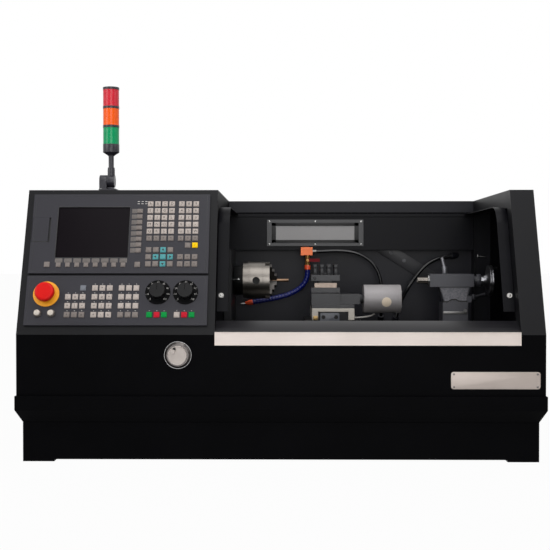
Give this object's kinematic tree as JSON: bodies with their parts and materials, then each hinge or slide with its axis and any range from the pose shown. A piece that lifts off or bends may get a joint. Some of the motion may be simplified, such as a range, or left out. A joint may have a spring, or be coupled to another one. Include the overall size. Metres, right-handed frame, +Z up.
{
  "type": "benchtop cnc lathe",
  "caption": "Enclosed benchtop CNC lathe: sloped control panels, signal tower, open work space with chuck, tool turret, tailstock and coolant hose on a chip tray and plinth.",
  "frame": {"origin": "on the floor under the middle of the bench bolt pattern, which is the middle of the plinth", "axes": "+X along the spindle from headstock to tailstock, +Y from the operator to the rear, +Z up"},
  "size_m": [1.212, 0.654, 0.887],
  "materials": {
    "black_paint": "satin powder coat",
    "dark_paint": "satin powder coat",
    "stainless": "brushed",
    "steel": "machined",
    "chrome": "polished",
    "iron": "painted grey",
    "cream": "enamel",
    "panel_plastic": "fine texture",
    "key_plastic": "smooth",
    "red_plastic": "gloss",
    "lens_plastic": "translucent",
    "black_plastic": "satin",
    "screen_glass": "dark",
    "diffuser": "opal",
    "brass": "satin",
    "orange_plastic": "moulded",
    "blue_plastic": "moulded",
    "rubber": "matte",
    "aluminium": "satin"
  },
  "bodies": {
    "machine": {"base_plinth": "black_paint", "chip_tray": "black_paint", "front_skirt": "black_paint", "left_side": "black_paint", "right_side": "black_paint", "control_cover": "black_paint", "right_post": "black_paint", "tower_foot": "black_paint", "inner_bulkhead": "dark_paint", "lid_jambs": "dark_paint", "rear_wall": "dark_paint", "lamp_panel": "dark_paint", "lamp_frame": "dark_paint", "sill_trim": "stainless", "handwheel_bezel": "chrome", "bed": "iron", "headstock": "iron", "display_panel": "panel_plastic", "machine_panel": "panel_plastic", "display_keys": "key_plastic", "machine_keys": "key_plastic", "z_motor": "black_plastic", "spindle_motor": "black_plastic", "screen": "screen_glass", "lamp_diffuser": "diffuser", "coolant_valve": "orange_plastic", "coolant_hose": "blue_plastic", "drive_belt": "rubber", "supply_hose": "rubber", "wall_conduit": "rubber"},
    "spindle": {"spindle": "steel", "chuck_body": "steel", "bar_stock": "brass"},
    "jaw_1": {"chuck_jaw_1": "steel"},
    "jaw_2": {"chuck_jaw_2": "steel"},
    "jaw_3": {"chuck_jaw_3": "steel"},
    "motor_pulley": {"motor_pulley": "black_plastic"},
    "z_screw": {"z_screw": "steel"},
    "carriage": {"saddle": "iron"},
    "cross_slide": {"cross_slide": "cream", "turret_base": "iron", "turret_motor": "aluminium", "motor_lead": "rubber"},
    "turret": {"turret_head": "iron", "cutting_tool": "steel"},
    "tailstock": {"tailstock": "iron"},
    "quill": {"quill": "steel"},
    "tail_wheel": {"tail_handwheel": "chrome"},
    "quill_lever": {"quill_lever": "chrome"},
    "clamp_lever": {"clamp_lever": "chrome"},
    "handwheel": {"pulse_handwheel": "chrome"},
    "stop_button": {"stop_button": "red_plastic"},
    "push_left": {"push_button_left": "chrome"},
    "push_right": {"push_button_right": "chrome"},
    "feed_dial": {"feed_dial": "black_plastic"},
    "spindle_dial": {"spindle_dial": "black_plastic"},
    "card_flap": {"card_flap": "panel_plastic"},
    "tower": {"tower_mast": "black_plastic", "tower_lenses": "lens_plastic"},
    "valve_lever": {"valve_lever": "red_plastic"}
  },
  "joints": [
    {"name": "spindle_turn", "type": "hinge", "parent": "machine", "child": "spindle", "pos_m": [-0.03, 0.14, 0.4075], "axis": [1, 0, 0], "continuous": true},
    {"name": "motor_turn", "type": "hinge", "parent": "machine", "child": "motor_pulley", "pos_m": [-0.43, -0.06, 0.36], "axis": [1, 0, 0], "continuous": true},
    {"name": "jaw_1_travel", "type": "slide", "parent": "spindle", "child": "jaw_1", "axis": [0, -0.5, -0.866], "range_m": [0, 0.02]},
    {"name": "jaw_2_travel", "type": "slide", "parent": "spindle", "child": "jaw_2", "axis": [0, 1, 0], "range_m": [0, 0.02]},
    {"name": "jaw_3_travel", "type": "slide", "parent": "spindle", "child": "jaw_3", "axis": [0, -0.5, 0.866], "range_m": [0, 0.02]},
    {"name": "carriage_travel", "type": "slide", "parent": "machine", "child": "carriage", "axis": [1, 0, 0], "range_m": [-0.18, 0.07]},
    {"name": "screw_turn", "type": "hinge", "parent": "machine", "child": "z_screw", "pos_m": [0, 0.04, 0.262], "axis": [1, 0, 0], "continuous": true},
    {"name": "cross_travel", "type": "slide", "parent": "carriage", "child": "cross_slide", "axis": [0, 1, 0], "range_m": [-0.04, 0.04]},
    {"name": "turret_index", "type": "hinge", "parent": "cross_slide", "child": "turret", "pos_m": [0.1155, 0.045, 0.4], "axis": [0, 0, 1], "continuous": true},
    {"name": "tailstock_travel", "type": "slide", "parent": "machine", "child": "tailstock", "axis": [1, 0, 0], "range_m": [-0.06, 0.008]},
    {"name": "tail_wheel_turn", "type": "hinge", "parent": "tailstock", "child": "tail_wheel", "pos_m": [0.56, 0.14, 0.4075], "axis": [1, 0, 0], "range_deg": [-5760, 2880]},
    {"name": "quill_travel", "type": "slide", "parent": "tailstock", "child": "quill", "axis": [1, 0, 0], "range_m": [-0.0401, 0.0201]},
    {"name": "quill_clamp", "type": "hinge", "parent": "tailstock", "child": "quill_lever", "pos_m": [0.444, 0.14, 0.43], "axis": [0, 0, 1], "range_deg": [-70, 70]},
    {"name": "bed_clamp", "type": "hinge", "parent": "tailstock", "child": "clamp_lever", "pos_m": [0.5213, 0.14, 0.362], "axis": [0, 0, 1], "range_deg": [-75, 0]},
    {"name": "handwheel_turn", "type": "hinge", "parent": "machine", "child": "handwheel", "pos_m": [-0.234, -0.31, 0.246], "axis": [0, -1, 0], "continuous": true},
    {"name": "stop_press", "type": "slide", "parent": "machine", "child": "stop_button", "axis": [0, -0.9389, 0.3443], "range_m": [-0.005, 0]},
    {"name": "push_left_press", "type": "slide", "parent": "machine", "child": "push_left", "axis": [0, -0.9389, 0.3443], "range_m": [-0.0025, 0], "stiffness_N_per_m": 400},
    {"name": "push_right_press", "type": "slide", "parent": "machine", "child": "push_right", "axis": [0, -0.9389, 0.3443], "range_m": [-0.0025, 0], "stiffness_N_per_m": 400},
    {"name": "feed_dial_turn", "type": "hinge", "parent": "machine", "child": "feed_dial", "pos_m": [-0.2829, -0.28496, 0.38963], "axis": [0, -0.9389, 0.3443], "range_deg": [-135, 135]},
    {"name": "spindle_dial_turn", "type": "hinge", "parent": "machine", "child": "spindle_dial", "pos_m": [-0.219, -0.28496, 0.38963], "axis": [0, -0.9389, 0.3443], "range_deg": [-135, 135]},
    {"name": "card_flap_open", "type": "hinge", "parent": "machine", "child": "card_flap", "pos_m": [-0.586, -0.2268, 0.53339], "axis": [0, -0.3443, -0.9389], "range_deg": [0, 90]},
    {"name": "tower_fold", "type": "hinge", "parent": "machine", "child": "tower", "pos_m": [-0.418, -0.12, 0.657], "axis": [-1, 0, 0], "range_deg": [0, 90]},
    {"name": "valve_turn", "type": "hinge", "parent": "machine", "child": "valve_lever", "pos_m": [0.074, 0.2465, 0.462], "axis": [0, 1, 0], "range_deg": [0, 90]}
  ],
  "couplings": [
    {"joint": "motor_turn", "follows": "spindle_turn", "ratio": 1.7037},
    {"joint": "jaw_2_travel", "follows": "jaw_1_travel", "ratio": 1},
    {"joint": "jaw_3_travel", "follows": "jaw_1_travel", "ratio": 1},
    {"joint": "screw_turn", "follows": "carriage_travel", "rad_per_m": 1256.6},
    {"joint": "quill_travel", "follows": "tail_wheel_turn", "m_per_rad": 0.00039789}
  ]
}
